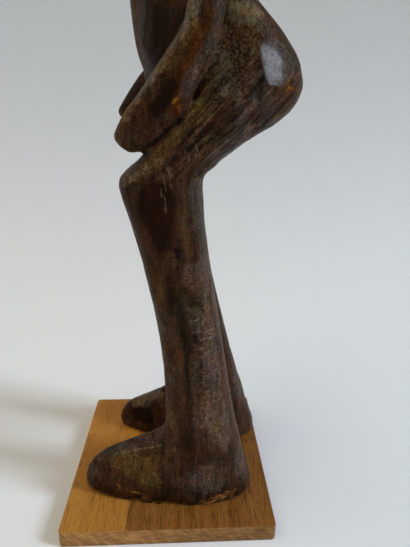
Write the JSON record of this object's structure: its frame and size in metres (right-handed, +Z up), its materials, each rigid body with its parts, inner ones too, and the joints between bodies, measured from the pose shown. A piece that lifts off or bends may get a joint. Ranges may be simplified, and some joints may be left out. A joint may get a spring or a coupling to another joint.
{
  "type": "carved standing female figure on a board",
  "caption": "Slender carved wooden figure standing with bent knees, hands on thighs and long narrow torso, on a plain square oak board.",
  "frame": {"origin": "middle of the board's underside", "axes": "+Z up along the standing figure, -Y the way the figure faces, +X its left side"},
  "size_m": [0.15, 0.1554, 0.646],
  "materials": {
    "carved_wood": "satin",
    "oak": "satin"
  },
  "bodies": {
    "root": {"figure": "carved_wood", "board": "oak"}
  },
  "joints": []
}
